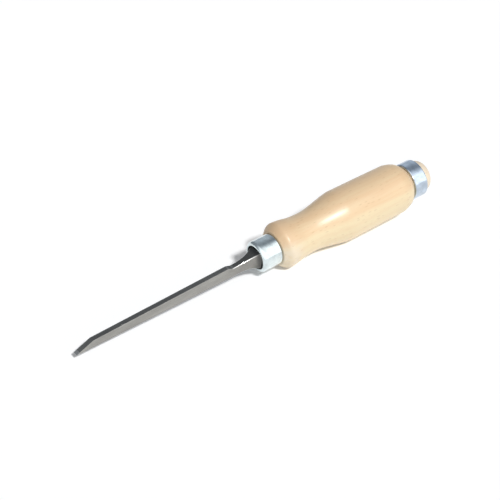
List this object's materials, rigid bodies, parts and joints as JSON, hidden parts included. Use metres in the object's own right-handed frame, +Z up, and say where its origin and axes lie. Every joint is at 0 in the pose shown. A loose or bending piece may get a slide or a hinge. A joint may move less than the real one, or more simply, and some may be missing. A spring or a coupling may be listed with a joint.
{
  "type": "wood chisel",
  "caption": "Narrow mortise-style wood chisel: slim bevelled steel blade with a flared neck, turned wooden handle with a waist, steel ferrule at the front and a striking hoop at the rear.",
  "frame": {"origin": "middle of the bounding box, at the bench: the handle's bead and the belly of its grip touch z = 0", "axes": "+X from the cutting edge to the butt, +Y to the chisel's left side, +Z up from the bench; the chisel's own axis rises 2.5 degrees towards the butt"},
  "size_m": [0.2786, 0.0356, 0.0372],
  "materials": {
    "blade": "ground flat, with fine lengthwise grinding lines",
    "ferrule": "bright zinc plate",
    "handle": "pale beech under clear lacquer",
    "striking_hoop": "bright zinc plate"
  },
  "bodies": {
    "root": {"blade": "blade", "ferrule": "ferrule", "handle": "handle", "striking_hoop": "striking_hoop"}
  },
  "joints": []
}
